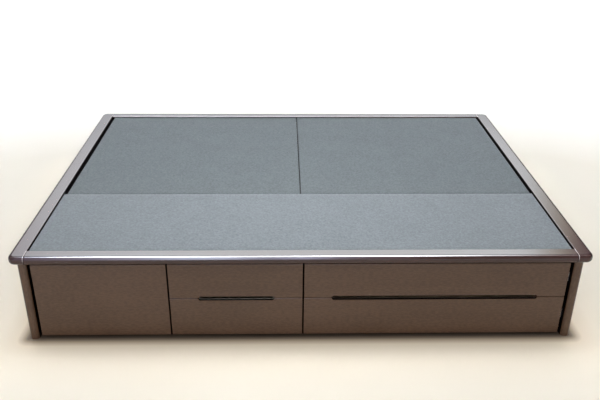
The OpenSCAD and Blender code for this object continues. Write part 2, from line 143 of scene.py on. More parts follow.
def blend(tree, share, a, b):
    # the mix node's share is socket 0, its two colours are sockets 6 and 7, and its result is output 2
    return addNode(tree, "ShaderNodeMix", {0: share, 6: a, 7: b}, data_type="RGBA").outputs[2]


def noise(tree, vector, scale, detail=2.0, roughness=0.5, distortion=0.0):
    node = addNode(tree, "ShaderNodeTexNoise", {"Vector": vector, "Scale": scale, "Detail": detail,
                                                "Roughness": roughness, "Distortion": distortion})
    return node.outputs["Fac"]


def colourRamp(tree, value, low, high, stops, scale=1.0):
    # stops are a value and its colour, each colour a share of the scale
    ramp = addNode(tree, "ShaderNodeValToRGB", {0: spread(tree, value, low, high)})
    points = ramp.color_ramp.elements
    while len(points) < len(stops):
        points.new(0.5)
    for point, (at, colour) in zip(points, stops):
        point.position = (at - low) / (high - low)
        point.color = tuple(level / scale for level in colour[:3]) + (1,)
    return ramp.outputs["Color"]


def startGroup(name, takes, gives):
    group = bpy.data.node_groups.new(name, "ShaderNodeTree")
    for label, kind, value in takes:
        socket = group.interface.new_socket(label, in_out="INPUT", socket_type="NodeSocket" + kind)
        if value is not None:
            socket.default_value = value
    for label in gives:
        group.interface.new_socket(label, in_out="OUTPUT", socket_type="NodeSocketFloat")
    return group, group.nodes.new("NodeGroupInput").outputs, group.nodes.new("NodeGroupOutput").inputs


def place(tree, group, inputs):
    return addNode(tree, "ShaderNodeGroup", inputs, node_tree=group).outputs


# shared effects
def makeFoilGrain():
    # printed wood figure, fine pores along the grain and the foil's own mottling
    tree, take, give = startGroup("foilGrain", [
        ("Vector", "Vector", None), ("Stretch", "Vector", (1, 1, 1)), ("Fine", "Vector", (1, 1, 1)),
        ("Mottle", "Float", 0.5)], ["Tone", "Height", "Gloss"])
    run = vectorMaths(tree, "MULTIPLY", take["Vector"], take["Stretch"])
    figure = noise(tree, run, 1.6, 4, 0.55, 0.6)
    pores = noise(tree, run, 13, 5, 0.7)
    mottle = noise(tree, vectorMaths(tree, "MULTIPLY", take["Vector"], take["Fine"]), 210, 4, 0.6)
    cloud = noise(tree, take["Vector"], 5, 3, 0.5)
    tone = plus(tree, times(tree, figure, 0.35), times(tree, pores, 0.3))
    tone = plus(tree, tone, times(tree, cloud, 0.35))
    grainy = times(tree, maths(tree, "SUBTRACT", mottle, 0.5), take["Mottle"])
    tree.links.new(spread(tree, plus(tree, tone, grainy), 0.3, 0.7), give["Tone"])
    tree.links.new(plus(tree, pores, times(tree, mottle, 0.5)), give["Height"])
    tree.links.new(spread(tree, plus(tree, cloud, grainy), 0.3, 0.8), give["Gloss"])
    return tree


def makeEdgeWear():
    # lighter, rubbed edges: where a softened normal leaves the true one, broken up by noise
    tree, take, give = startGroup("edgeWear", [
        ("Vector", "Vector", None), ("Radius", "Float", 0.002), ("Patches", "Float", 40)], ["Mask"])
    soft = addNode(tree, "ShaderNodeBevel", {"Radius": take["Radius"]}, samples=4).outputs["Normal"]
    same = vectorMaths(tree, "DOT_PRODUCT", soft, surfaceNormal(tree))
    edge = spread(tree, same, 1.0, 0.88)
    patch = spread(tree, noise(tree, take["Vector"], take["Patches"], 4, 0.6), 0.42, 0.62, 0.25, 1.0)
    tree.links.new(times(tree, edge, patch), give["Mask"])
    return tree


def makeDust():
    # a little dust on what faces up
    tree, take, give = startGroup("dust", [
        ("Vector", "Vector", None), ("Scale", "Float", 30)], ["Mask"])
    up = axes(tree, surfaceNormal(tree))["Z"]
    lies = noise(tree, take["Vector"], take["Scale"], 6, 0.7)
    tree.links.new(times(tree, spread(tree, up, 0.6, 1.0), spread(tree, lies, 0.5, 0.8)), give["Mask"])
    return tree


def makeFeltFibre():
    # needled felt: crossing fibres, soft clouds where the nap is brushed, and specks of lint
    tree, take, give = startGroup("feltFibre", [
        ("Vector", "Vector", None), ("Fibre", "Float", 700), ("Lint", "Float", 55)],
        ["Tone", "Height", "Specks"])
    fibres = []
    for turn, stretch in ((0.5, (1, 0.18, 1)), (2.1, (0.16, 1, 1)), (1.2, (0.3, 1, 1))):
        turned = addNode(tree, "ShaderNodeVectorRotate", {"Vector": take["Vector"], "Angle": turn},
                         rotation_type="Z_AXIS").outputs["Vector"]
        fibres.append(noise(tree, vectorMaths(tree, "MULTIPLY", turned, stretch), take["Fibre"], 2, 0.6))
    woven = times(tree, plus(tree, plus(tree, fibres[0], fibres[1]), fibres[2]), 0.333)
    tufts = noise(tree, take["Vector"], 130, 4, 0.65)
    brushed = noise(tree, take["Vector"], 9, 5, 0.6)
    tone = plus(tree, times(tree, woven, 0.3), times(tree, tufts, 0.6))
    tone = plus(tree, tone, times(tree, brushed, 0.1))
    cell = addNode(tree, "ShaderNodeTexVoronoi", {"Vector": take["Vector"], "Scale": take["Lint"],
                                                  "Randomness": 1.0})
    near = spread(tree, cell.outputs["Distance"], 0.05, 0.02)
    some = above(tree, axes(tree, cell.outputs["Color"])["X"], 0.93)
    tree.links.new(spread(tree, tone, 0.38, 0.62), give["Tone"])
    tree.links.new(plus(tree, woven, times(tree, tufts, 0.8)), give["Height"])
    tree.links.new(times(tree, near, some), give["Specks"])
    return tree


def makeBoardGrain():
    # sawn or peeled pale wood: growth rings drawn out along the board and fine pores
    tree, take, give = startGroup("boardGrain", [
        ("Vector", "Vector", None), ("Stretch", "Vector", (1, 1, 1))], ["Ring", "Pore"])
    run = vectorMaths(tree, "MULTIPLY", take["Vector"], take["Stretch"])
    bend = noise(tree, run, 1.1, 3, 0.5, 0.4)
    ring = maths(tree, "SINE", times(tree, bend, 75))
    pore = noise(tree, vectorMaths(tree, "MULTIPLY", run, (1.5, 4, 4)), 22, 5, 0.7)
    tree.links.new(spread(tree, ring, -1, 1), give["Ring"])
    tree.links.new(spread(tree, pore, 0.35, 0.7), give["Pore"])
    return tree


foilGrain = makeFoilGrain()
edgeWear = makeEdgeWear()
dust = makeDust()
feltFibre = makeFeltFibre()
boardGrain = makeBoardGrain()
print("shared effects made")


# finishes
def startMaterial(name, **settings):
    # settings are plain values for the shader's own sockets
    material = bpy.data.materials.new(name)
    material.use_nodes = True
    tree = material.node_tree
    shader = tree.nodes["Principled BSDF"]
    for label, value in settings.items():
        shader.inputs[label.replace("_", " ")].default_value = value
    where = addNode(tree, "ShaderNodeTexCoord").outputs["Object"]
    return material, tree, shader, where


def bump(tree, shader, height, strength, distance):
    node = addNode(tree, "ShaderNodeBump", {"Strength": strength, "Distance": distance, "Height": height})
    tree.links.new(node.outputs["Normal"], shader.inputs["Normal"])


def rgb(*levels):
    # a colour as a picture program shows it, each level out of 255
    shares = [level / 255 for level in levels]
    linear = [share / 12.92 if share <= 0.04045 else ((share + 0.055) / 1.055) ** 2.4 for share in shares]
    return (*linear, 1)


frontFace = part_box("plain_front")[0].y
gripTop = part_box("lower_narrow_front")[1].z
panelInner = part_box("foot_end_panel")[0].x
foilLook = {"light": rgb(77, 55, 38), "dark": rgb(62, 41, 27), "mottle": 2.0, "rough": (0.32, 0.46),
            "edge": rgb(116, 94, 76), "wear": 0.5, "dust": rgb(130, 120, 110), "dusted": 0.12,
            "stretch": {"x": (1.2, 16, 16), "y": (16, 1.2, 16), "z": (16, 16, 1.2)},
            "fine": {"x": (0.3, 1, 1), "y": (1, 0.3, 1), "z": (1, 1, 0.3)}}
# painted shade and light: the shadow gaps round the fronts, painted black, and the floor of the grip notches
# in the lower ones
paintedShadeLook = {"colour": rgb(11, 8, 7), "rough": 0.95, "upright": 0.85,
             "front": frontFace + 0.0005, "back": frontFace + 0.124, "end": panelInner + 0.0005}
# painted light: a pale lip colour for each width, lighter than the foil, standing for the lit strip on the
# notch floor
gripLook = {"lips": {"narrow": rgb(214, 206, 196), "wide": rgb(98, 80, 70)}, "level": 0.3,
            "front": frontFace + 0.0097, "low": gripTop - 0.01175, "high": gripTop - 0.00405}


def makeFoil(name, along, lip=None):
    material, tree, shader, where = startMaterial(name, IOR=1.48)
    grain = place(tree, foilGrain, {"Vector": where, "Stretch": foilLook["stretch"][along],
                                    "Fine": foilLook["fine"][along], "Mottle": foilLook["mottle"]})
    worn = place(tree, edgeWear, {"Vector": where, "Radius": 0.0012, "Patches": 30})["Mask"]
    dusty = place(tree, dust, {"Vector": where, "Scale": 35})["Mask"]
    colour = blend(tree, grain["Tone"], foilLook["dark"], foilLook["light"])
    colour = blend(tree, times(tree, worn, foilLook["wear"]), colour, foilLook["edge"])
    colour = blend(tree, times(tree, dusty, foilLook["dusted"]), colour, foilLook["dust"])
    # painted shade: inside the shadow gaps between the fronts the boards are painted black where shade falls
    faces = axes(tree, surfaceNormal(tree))
    at = axes(tree, where)
    aside = above(tree, unsigned(tree, faces["X"]), paintedShadeLook["upright"])
    behind = times(tree, below(tree, faces["Y"], -paintedShadeLook["upright"]),
                   above(tree, at["Y"], paintedShadeLook["front"]))
    inGap = times(tree, below(tree, at["Y"], paintedShadeLook["back"]),
                  below(tree, unsigned(tree, at["X"]), paintedShadeLook["end"]))
    paintedShade = times(tree, larger(tree, aside, behind), inGap)
    if lip:
        # the floor of the grip notch: a pale lip, painted light, behind a black edge, painted shade
        flat = times(tree, above(tree, faces["Z"], gripLook["level"]),
                     within(tree, at["Z"], gripLook["low"], gripLook["high"]))
        paintedLight = times(tree, flat, above(tree, at["Y"], gripLook["front"]))
        colour = blend(tree, paintedLight, colour, lip)
        paintedShade = larger(tree, paintedShade, maths(tree, "SUBTRACT", flat, paintedLight))
    # the painted shade, black, goes over the foil's colour
    colour = blend(tree, paintedShade, colour, paintedShadeLook["colour"])
    tree.links.new(colour, shader.inputs["Base Color"])
    rough = spread(tree, grain["Gloss"], 0, 1, *foilLook["rough"])
    rough = larger(tree, rough, times(tree, paintedShade, paintedShadeLook["rough"]))
    tree.links.new(rough, shader.inputs["Roughness"])
    tree.links.new(paintedShade, shader.inputs["Metallic"])  # keeps the sky's mirror image off the black
    bump(tree, shader, grain["Height"], 0.25, 0.0002)
    return material


boardLook = {"light": rgb(222, 200, 164), "dark": rgb(196, 168, 126), "pore": rgb(170, 138, 98),
             "pores": 0.35, "wear": 0.4, "rough": (0.55, 0.75), "stretch": {"x": (1, 9, 9), "y": (9, 1, 9)}}
# painted shade: near-black boards for the pieces seen only through gaps
paintedShadeBoardLook = {"light": rgb(13, 10, 9), "dark": rgb(7, 5, 5), "edge": rgb(46, 36, 29), "wear": 0.4,
             "rough": (0.75, 0.9)}


def makePaintedShadeBoard(along):
    # painted shade: boards painted near black and left dull where they show only through gaps, standing in
    # for the shade there
    material, tree, shader, where = startMaterial("paintedShadeBoards" + along.upper(), Specular_IOR_Level=0.02)
    wood = place(tree, boardGrain, {"Vector": where, "Stretch": boardLook["stretch"][along]})
    worn = place(tree, edgeWear, {"Vector": where, "Radius": 0.0012, "Patches": 50})["Mask"]
    colour = blend(tree, wood["Ring"], paintedShadeBoardLook["dark"], paintedShadeBoardLook["light"])
    colour = blend(tree, times(tree, worn, paintedShadeBoardLook["wear"]), colour, paintedShadeBoardLook["edge"])
    tree.links.new(colour, shader.inputs["Base Color"])
    tree.links.new(spread(tree, wood["Pore"], 0, 1, *paintedShadeBoardLook["rough"]), shader.inputs["Roughness"])
    bump(tree, shader, wood["Pore"], 0.3, 0.0002)
    return material


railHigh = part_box("front_rim_rail")[1]
railEnd, railInner = railHigh.x, -railHigh.y
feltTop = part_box("deck_felt")[1].z
rimLook = {"light": rgb(62, 40, 37), "dark": rgb(42, 27, 25), "mottle": 0.25, "rough": (0.07, 0.14),
           "edge": rgb(130, 115, 114), "wear": 0.08, "dusted": 0.08,
           "stretch": {"x": (0.6, 26, 26), "y": (26, 0.6, 26)}}
# the groove at the rails' joints and the painted highlight beside it, a pale glint, by distance along X from
# the bed's middle, and the inner faces painted near black as painted shade, by distance along X and Y
jointLook = {"seam": rgb(14, 10, 10), "groove": (railEnd - 0.0021, railEnd + 0.0003),
             "paintedGlint": rgb(214, 203, 202), "beside": (railEnd + 0.0003, railEnd + 0.0022),
             "heights": (feltTop - 0.013, feltTop + 0.001), "shares": (0.08, 0.85)}
innerLook = {"paintedShadeInner": rgb(9, 7, 7), "rough": 0.85, "x": railEnd + 0.0007, "y": railInner + 0.0015,
             "top": feltTop - 0.0005}


def makeRimWrap(along):
    material, tree, shader, where = startMaterial("rimWrap" + along.upper(), IOR=1.5)
    grain = place(tree, foilGrain, {"Vector": where, "Stretch": rimLook["stretch"][along],
                                    "Fine": foilLook["fine"][along], "Mottle": rimLook["mottle"]})
    worn = place(tree, edgeWear, {"Vector": where, "Radius": 0.001, "Patches": 22})["Mask"]
    dusty = place(tree, dust, {"Vector": where, "Scale": 50})["Mask"]
    colour = blend(tree, grain["Tone"], rimLook["dark"], rimLook["light"])
    colour = blend(tree, times(tree, worn, rimLook["wear"]), colour, rimLook["edge"])
    colour = blend(tree, times(tree, dusty, rimLook["dusted"]), colour, rimLook["edge"])
    # dirt and shadow in the fine groove where the rails meet
    at = axes(tree, where)
    across, deep = unsigned(tree, at["X"]), unsigned(tree, at["Y"])
    groove = within(tree, across, *jointLook["groove"])
    colour = blend(tree, groove, colour, jointLook["seam"])
    # painted highlight: beside it a pale glint on the end rail's edge, strongest at the top of the nose and
    # fading below
    paintedGlint = times(tree, within(tree, across, *jointLook["beside"]), above(tree, deep, railInner))
    paintedGlint = times(tree, paintedGlint, spread(tree, at["Z"], *jointLook["heights"], *jointLook["shares"]))
    colour = blend(tree, paintedGlint, colour, jointLook["paintedGlint"])
    # painted shade: below the felt's height the inner faces are painted near black and dull, standing in for
    # the shade there
    inside = times(tree, below(tree, across, innerLook["x"]), below(tree, deep, innerLook["y"]))
    paintedShadeInner = times(tree, inside, below(tree, at["Z"], innerLook["top"]))
    colour = blend(tree, paintedShadeInner, colour, innerLook["paintedShadeInner"])
    tree.links.new(colour, shader.inputs["Base Color"])
    black = larger(tree, groove, paintedShadeInner)
    rough = spread(tree, grain["Gloss"], 0, 1, *rimLook["rough"])
    rough = larger(tree, rough, times(tree, black, innerLook["rough"]))
    tree.links.new(rough, shader.inputs["Roughness"])
    tree.links.new(black, shader.inputs["Metallic"])
    bump(tree, shader, grain["Height"], 0.02, 0.0002)
    return material


# the lid felt is the deck's felt painted darker: painted shade for how light falls on the lids
feltLook = {"deck": (rgb(84, 91, 95), rgb(113, 120, 124)), "lid": (rgb(72, 79, 81), rgb(98, 105, 107)),
            "lint": rgb(222, 224, 224), "sheen": {"deck": 0.35, "lid": 0.15}}


def makeFelt(kind):
    material, tree, shader, where = startMaterial(kind + "Felt", Roughness=0.92, Specular_IOR_Level=0.2,
                                                  Sheen_Weight=feltLook["sheen"][kind], Sheen_Roughness=0.45)
    felt = place(tree, feltFibre, {"Vector": where, "Fibre": 700, "Lint": 45})
    colour = blend(tree, felt["Tone"], *feltLook[kind])
    colour = blend(tree, felt["Specks"], colour, feltLook["lint"])
    tree.links.new(colour, shader.inputs["Base Color"])
    bump(tree, shader, felt["Height"], 0.6, 0.0008)
    return material


def makePaleBoard(along):
    material, tree, shader, where = startMaterial("paleBoard" + along.upper(), Specular_IOR_Level=0.35)
    wood = place(tree, boardGrain, {"Vector": where, "Stretch": boardLook["stretch"][along]})
    worn = place(tree, edgeWear, {"Vector": where, "Radius": 0.0015, "Patches": 60})["Mask"]
    colour = blend(tree, wood["Ring"], boardLook["light"], boardLook["dark"])
    colour = blend(tree, times(tree, wood["Pore"], boardLook["pores"]), colour, boardLook["pore"])
    colour = blend(tree, times(tree, worn, boardLook["wear"]), colour, boardLook["pore"])
    tree.links.new(colour, shader.inputs["Base Color"])
    tree.links.new(spread(tree, wood["Pore"], 0, 1, *boardLook["rough"]), shader.inputs["Roughness"])
    bump(tree, shader, plus(tree, wood["Pore"], wood["Ring"]), 0.3, 0.0002)
    return material


drawerLook = {"light": rgb(214, 204, 188), "dark": rgb(194, 182, 164), "edge": rgb(168, 146, 116),
              "wear": 0.5, "rough": (0.4, 0.55)}


def makeDrawerBoard():
    # foil with a fine linen print
    material, tree, shader, where = startMaterial("drawerBoard", IOR=1.45)
    thread = {"Vector": where, "Scale": 260, "Distortion": 3.0, "Detail": 2.0}
    weave = [addNode(tree, "ShaderNodeTexWave", thread, bands_direction=side).outputs["Fac"]
             for side in ("Y", "Z")]
    linen = times(tree, plus(tree, *weave), 0.5)
    cloud = noise(tree, where, 9, 4, 0.6)
    worn = place(tree, edgeWear, {"Vector": where, "Radius": 0.0015, "Patches": 45})["Mask"]
    tone = plus(tree, times(tree, linen, 0.5), times(tree, cloud, 0.5))
    colour = blend(tree, tone, drawerLook["dark"], drawerLook["light"])
    colour = blend(tree, times(tree, worn, drawerLook["wear"]), colour, drawerLook["edge"])
    tree.links.new(colour, shader.inputs["Base Color"])
    tree.links.new(spread(tree, cloud, 0.3, 0.7, *drawerLook["rough"]), shader.inputs["Roughness"])
    bump(tree, shader, linen, 0.2, 0.0001)
    return material


steelLook = {"dark": rgb(178, 182, 190), "light": rgb(220, 221, 222), "rough": (0.22, 0.42),
             "rubber": rgb(16, 16, 17), "rubberRough": 0.9, "shadeStop": 0.008}


def makeZincSteel(name, stopEnd=None):
    material, tree, shader, where = startMaterial(name)
    rolled = noise(tree, vectorMaths(tree, "MULTIPLY", where, (40, 1.5, 40)), 12, 5, 0.7)
    crystal = noise(tree, where, 90, 3, 0.6)
    tone = plus(tree, times(tree, rolled, 0.5), times(tree, crystal, 0.5))
    colour = blend(tree, spread(tree, tone, 0.3, 0.7), steelLook["dark"], steelLook["light"])
    rough = spread(tree, tone, 0.3, 0.7, *steelLook["rough"])
    if stopEnd is None:
        shader.inputs["Metallic"].default_value = 1.0
    else:
        # black rubber stop on the front end, its black also painted shade where the runner's end shows in the
        # gap beside the fronts
        shadeStop = below(tree, axes(tree, where)["Y"], stopEnd)
        colour = blend(tree, shadeStop, colour, steelLook["rubber"])
        rough = larger(tree, rough, times(tree, shadeStop, steelLook["rubberRough"]))
        tree.links.new(maths(tree, "SUBTRACT", 1.0, shadeStop), shader.inputs["Metallic"])
    tree.links.new(colour, shader.inputs["Base Color"])
    tree.links.new(rough, shader.inputs["Roughness"])
    bump(tree, shader, rolled, 0.15, 0.0001)
    return material


def makePlastic(name, light, dark, rough):
    material, tree, shader, where = startMaterial(name, IOR=1.46)
    grit = noise(tree, where, 1500, 3, 0.6)
    cloud = noise(tree, where, 60, 3, 0.5)
    tree.links.new(blend(tree, cloud, dark, light), shader.inputs["Base Color"])
    tree.links.new(spread(tree, grit, 0.3, 0.7, rough - 0.06, rough + 0.08), shader.inputs["Roughness"])
    bump(tree, shader, grit, 0.15, 0.0001)
    return material


foil = {along: makeFoil("brownFoil" + along.upper(), along) for along in "xyz"}
# the lower fronts' foil, with the painted light and painted shade in their grip notches
gripFoil = {width: makeFoil(width + "GripFoil", "x", lip) for width, lip in gripLook["lips"].items()}
paintedShadeBoards = {along: makePaintedShadeBoard(along) for along in "xy"}
wrap = {along: makeRimWrap(along) for along in "xy"}
felts = {kind: makeFelt(kind) for kind in ("deck", "lid")}
board = {along: makePaleBoard(along) for along in "xy"}
drawerBoard = makeDrawerBoard()
zincSteel = makeZincSteel("zincSteel")
# the carcass runners' steel, with the black stop at its front end standing partly as painted shade
shadeStopSteel = makeZincSteel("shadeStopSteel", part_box("carcass_runners")[0].y + steelLook["shadeStop"])
nylon = makePlastic("nylon", rgb(236, 236, 228), rgb(218, 218, 208), 0.42)
palePlastic = makePlastic("palePlastic", rgb(206, 197, 182), rgb(192, 182, 166), 0.4)
blackPlastic = makePlastic("blackPlastic", rgb(40, 40, 42), rgb(26, 26, 28), 0.45)


def dress(material, *names):
    for name in names:
        for slot in nodes[name].material_slots:
            slot.material = material


dress(foil["z"], "head_end_panel", "foot_end_panel", "head_divider", "middle_divider")
dress(foil["x"], "back_panel", "long_partition", "plain_front", "front_top_rail", "front_bottom_rail",
      *[drawer + "_front" for drawer in drawers])
for width, material in gripFoil.items():
    dress(material, "lower_" + width + "_front")
# the cleats and the bridge, seen only through gaps, wear the painted shade
dress(paintedShadeBoards["x"], "deck_cleats")
dress(paintedShadeBoards["y"], "lid_bridge")
dress(foil["y"], "cross_partition")
dress(wrap["x"], "front_rim_rail", "back_rim_rail")
dress(wrap["y"], "head_rim_rail", "foot_rim_rail")
dress(board["x"], "deck_board", "head_lid_board", "foot_lid_board", "floor_bearers",
      "head_well_floor", "foot_well_floor")
dress(board["y"], "head_lid_battens", "foot_lid_battens")
dress(drawerBoard, *[drawer + part for drawer in drawers
                     for part in ("_left_side", "_right_side", "_back", "_bottom")])
dress(shadeStopSteel, "carcass_runners")
dress(zincSteel, "lid_pivot_pins",
      *[drawer + part for drawer in drawers for part in ("_middle_runners", "_drawer_runners")])
dress(nylon, "head_lid_bushes", "foot_lid_bushes")
print("finishes made and put on the nodes")


# modelling helpers
def deselect():
    bpy.ops.object.select_all(action="DESELECT")


def pick(piece):
    deselect()
    piece.select_set(True)
    bpy.context.view_layer.objects.active = piece


def edit(piece, mode="FACE"):
    # clear what is selected in the piece's mesh and set what to select next
    pick(piece)
    bpy.ops.object.mode_set(mode="EDIT")
    bpy.ops.mesh.select_mode(type=mode)
    bpy.ops.mesh.select_all(action="DESELECT")
    bpy.ops.object.mode_set(mode="OBJECT")


def choose(piece, what, test):
    # select the vertices, edges or faces that pass a test, ready for an edit-mode operator
    for item in getattr(piece.data, what):
        item.select = bool(test(item))
    bpy.ops.object.mode_set(mode="EDIT")


def leaveEdit():
    bpy.ops.object.mode_set(mode="OBJECT")


def settle(piece):
    # put the piece's place into its mesh
    pick(piece)
    bpy.ops.object.transform_apply(location=True, rotation=True, scale=True)


def apply(piece, kind, **fields):
    pick(piece)
    modifier = piece.modifiers.new("shape", kind)
    for name, value in fields.items():
        setattr(modifier, name, value)
    bpy.ops.object.modifier_apply(modifier=modifier.name)


def facing(side):
    # turn that points a piece's face, modelled looking up, along an axis
    return {"+x": (0, math.pi / 2, 0), "-x": (0, -math.pi / 2, 0), "+y": (-math.pi / 2, 0, 0),
            "-y": (math.pi / 2, 0, 0), "-z": (math.pi, 0, 0), "+z": (0, 0, 0)}[side]


def finishPiece(piece, name, material, body):
    piece.name = name
    piece.data.materials.clear()
    piece.data.materials.append(material)
    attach(piece, body)


def copied(source, spots):
    # copies of a small piece, each spot a place and a turn, joined into one object
    made = []
    for spot, turn in spots:
        piece = source.copy()
        piece.data = source.data.copy()
        piece.data.transform(Matrix.Translation(spot) @ Euler(turn).to_matrix().to_4x4())
        bpy.context.scene.collection.objects.link(piece)
        made.append(piece)
    deselect()
    for piece in made:
        piece.select_set(True)
    bpy.context.view_layer.objects.active = made[0]
    if len(made) > 1:
        bpy.ops.object.join()
    return bpy.context.view_layer.objects.active


# felt covers, glued over the boards
coverShape = {"thick": 0.0019, "fold": 0.0025, "lidEnd": 0.004, "step": 0.025, "wave": 0.0005, "slack": 0.22,
              "proud": 0.0016, "near": 1e-5, "smooth": math.radians(40)}
# the lids' pivots: where they are, and the holes in the felt round the pins and the bushes
pivots = {joint["child"]: Vector(joint["pos_m"]) for joint in frame["joints"] if joint["type"] == "hinge"}
pivotHoles = {"pin": 0.0033, "bush": 0.00485, "depth": 0.03}


def makeFeltCover(name, node, body, holes, material, endFold, proud=0.0):
    low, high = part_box(node)
    low = low - Vector((proud, 0, 0))  # the fold at the head end stands a little off its board
    size = high - low
    near = coverShape["near"]
    deselect()
    bpy.ops.mesh.primitive_grid_add(x_subdivisions=round(size.x / coverShape["step"]),
                                    y_subdivisions=round(size.y / coverShape["step"]), size=1,
                                    location=((low.x + high.x) / 2, (low.y + high.y) / 2, high.z))
    cover = bpy.context.object
    cover.scale = (size.x, size.y, 1)
    settle(cover)
    edit(cover, "EDGE")
    borders = {}
    for face in cover.data.polygons:
        for key in face.edge_keys:
            borders[key] = borders.get(key, 0) + 1
    choose(cover, "edges", lambda edge: borders[tuple(sorted(edge.vertices))] == 1)
    bpy.ops.mesh.extrude_region_move(TRANSFORM_OT_translate={"value": (0, 0, -size.z)})
    bpy.ops.mesh.select_all(action="DESELECT")
    leaveEdit()

    # one bevel folds the felt over, in its full width at the lids' ends and narrower elsewhere
    weights = cover.data.attributes.new("bevel_weight_edge", "FLOAT", "EDGE")
    for edge in cover.data.edges:
        a, b = (cover.data.vertices[index].co for index in edge.vertices)
        atEnd, atSide = (any(max(abs(a[axis] - wall[axis]), abs(b[axis] - wall[axis])) < near
                             for wall in (low, high)) for axis in (0, 1))
        onTop = min(a.z, b.z) > high.z - near
        upright = atEnd and atSide and abs(a.z - b.z) > near
        if upright or atSide and not atEnd and onTop:
            weights.data[edge.index].value = coverShape["fold"] / coverShape["lidEnd"]
        elif atEnd and not atSide and onTop:
            weights.data[edge.index].value = endFold / coverShape["lidEnd"]
    apply(cover, "BEVEL", width=coverShape["lidEnd"], segments=4, limit_method="WEIGHT")
    slack = bpy.data.textures.new(name + "Slack", "CLOUDS")
    slack.noise_scale = coverShape["slack"]
    apply(cover, "DISPLACE", texture=slack, texture_coords="GLOBAL", direction="Z", mid_level=1.0,
          strength=coverShape["wave"])
    apply(cover, "SOLIDIFY", thickness=coverShape["thick"], offset=-1.0, use_even_offset=True)
    for spot, radius in holes:
        deselect()
        bpy.ops.mesh.primitive_cylinder_add(vertices=32, radius=radius, depth=pivotHoles["depth"],
                                            location=spot, rotation=facing("-y"))
        drill = bpy.context.object
        apply(cover, "BOOLEAN", operation="DIFFERENCE", object=drill, solver="EXACT")
        bpy.data.objects.remove(drill)
    pick(cover)
    bpy.ops.object.shade_smooth_by_angle(angle=coverShape["smooth"])
    finishPiece(cover, name, material, body)
    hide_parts(node)


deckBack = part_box("deck_felt")[1].y
makeFeltCover("deckFeltCover", "deck_felt", "carcass",
              [((pivot.x, deckBack, pivot.z), pivotHoles["pin"]) for pivot in pivots.values()],
              felts["deck"], coverShape["fold"], coverShape["proud"])
for lid, pivot in pivots.items():
    end = lid.split("_")[0]
    makeFeltCover(end + "LidFeltCover", lid + "_felt", lid,
                  [((pivot.x, wall.y, pivot.z), pivotHoles["bush"]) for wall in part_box(lid + "_felt")],
                  felts["lid"], coverShape["lidEnd"])
print("felt covers made")


# screws and small fittings, each modelled once and copied
# a screw's foot, rim, rise and cross are shares of its head's radius, and its cut is a share of its depth
screwShape = {"foot": 0.62, "rim": 0.08, "rise": 0.03, "cross": (1.25, 0.24), "cut": 1.1}
woodScrewShape = screwShape | {"head": 0.0038, "deep": 0.0014}
runnerScrewShape = screwShape | {"head": 0.00225, "deep": 0.0011}
# a cap's rim and crown are shares of its radius
capShape = {"radius": 0.008, "rise": 0.0009, "dome": 0.00025, "rim": 0.22, "crown": 0.35,
            "sharp": math.radians(50), "smooth": math.radians(35)}
# a lever's waist is a share of its height, its neck and rib of its thumb end, and flare and dip are scales
leverShape = {"thick": 0.0018, "length": 0.040, "height": 0.007, "waist": 0.55, "edge": 0.0003,
              "thumb": 0.016, "neck": 0.4, "flare": 1.8, "ribs": 3, "rib": 0.1, "dip": 0.86,
              "sharp": math.radians(40)}


def makeScrew(name, shape):
    # countersunk cross head, its face at z = 0 and its cone below
    head, deep = shape["head"], shape["deep"]
    deselect()
    bpy.ops.mesh.primitive_cylinder_add(vertices=20, radius=head, depth=deep, location=(0, 0, -deep / 2))
    screw = bpy.context.object
    screw.name = name
    settle(screw)
    edit(screw)
    choose(screw, "polygons", lambda face: face.normal.z < -0.9)
    bpy.ops.transform.resize(value=(shape["foot"], shape["foot"], 1))
    leaveEdit()
    edit(screw)
    choose(screw, "polygons", lambda face: face.normal.z > 0.9)
    bpy.ops.mesh.inset(thickness=head * shape["rim"], depth=0)
    bpy.ops.transform.translate(value=(0, 0, head * shape["rise"]))
    leaveEdit()
    for turn in (0, math.pi / 2):
        deselect()
        bpy.ops.mesh.primitive_cube_add(size=1, location=(0, 0, head * shape["rise"]), rotation=(0, 0, turn))
        cutter = bpy.context.object
        length, width = (head * share for share in shape["cross"])
        cutter.scale = (length, width, deep * shape["cut"])
        settle(cutter)
        apply(screw, "BOOLEAN", operation="DIFFERENCE", object=cutter, solver="EXACT")
        bpy.data.objects.remove(cutter)
    return screw


def makeCoverCap(shape):
    # low pressed cap over a cam fitting, its rim on z = 0
    deselect()
    bpy.ops.mesh.primitive_cylinder_add(vertices=32, radius=shape["radius"], depth=shape["rise"],
                                        location=(0, 0, shape["rise"] / 2))
    cap = bpy.context.object
    cap.name = "coverCap"
    settle(cap)
    edit(cap)
    choose(cap, "polygons", lambda face: face.normal.z > 0.9)
    bpy.ops.mesh.inset(thickness=shape["radius"] * shape["rim"], depth=0)
    bpy.ops.transform.translate(value=(0, 0, shape["dome"]))
    bpy.ops.mesh.inset(thickness=shape["radius"] * shape["crown"], depth=0)
    bpy.ops.transform.translate(value=(0, 0, shape["dome"] / 2))
    leaveEdit()
    apply(cap, "BEVEL", width=shape["rise"] / 3, segments=2, limit_method="ANGLE", angle_limit=shape["sharp"])
    bpy.ops.object.shade_smooth_by_angle(angle=shape["smooth"])
    return cap


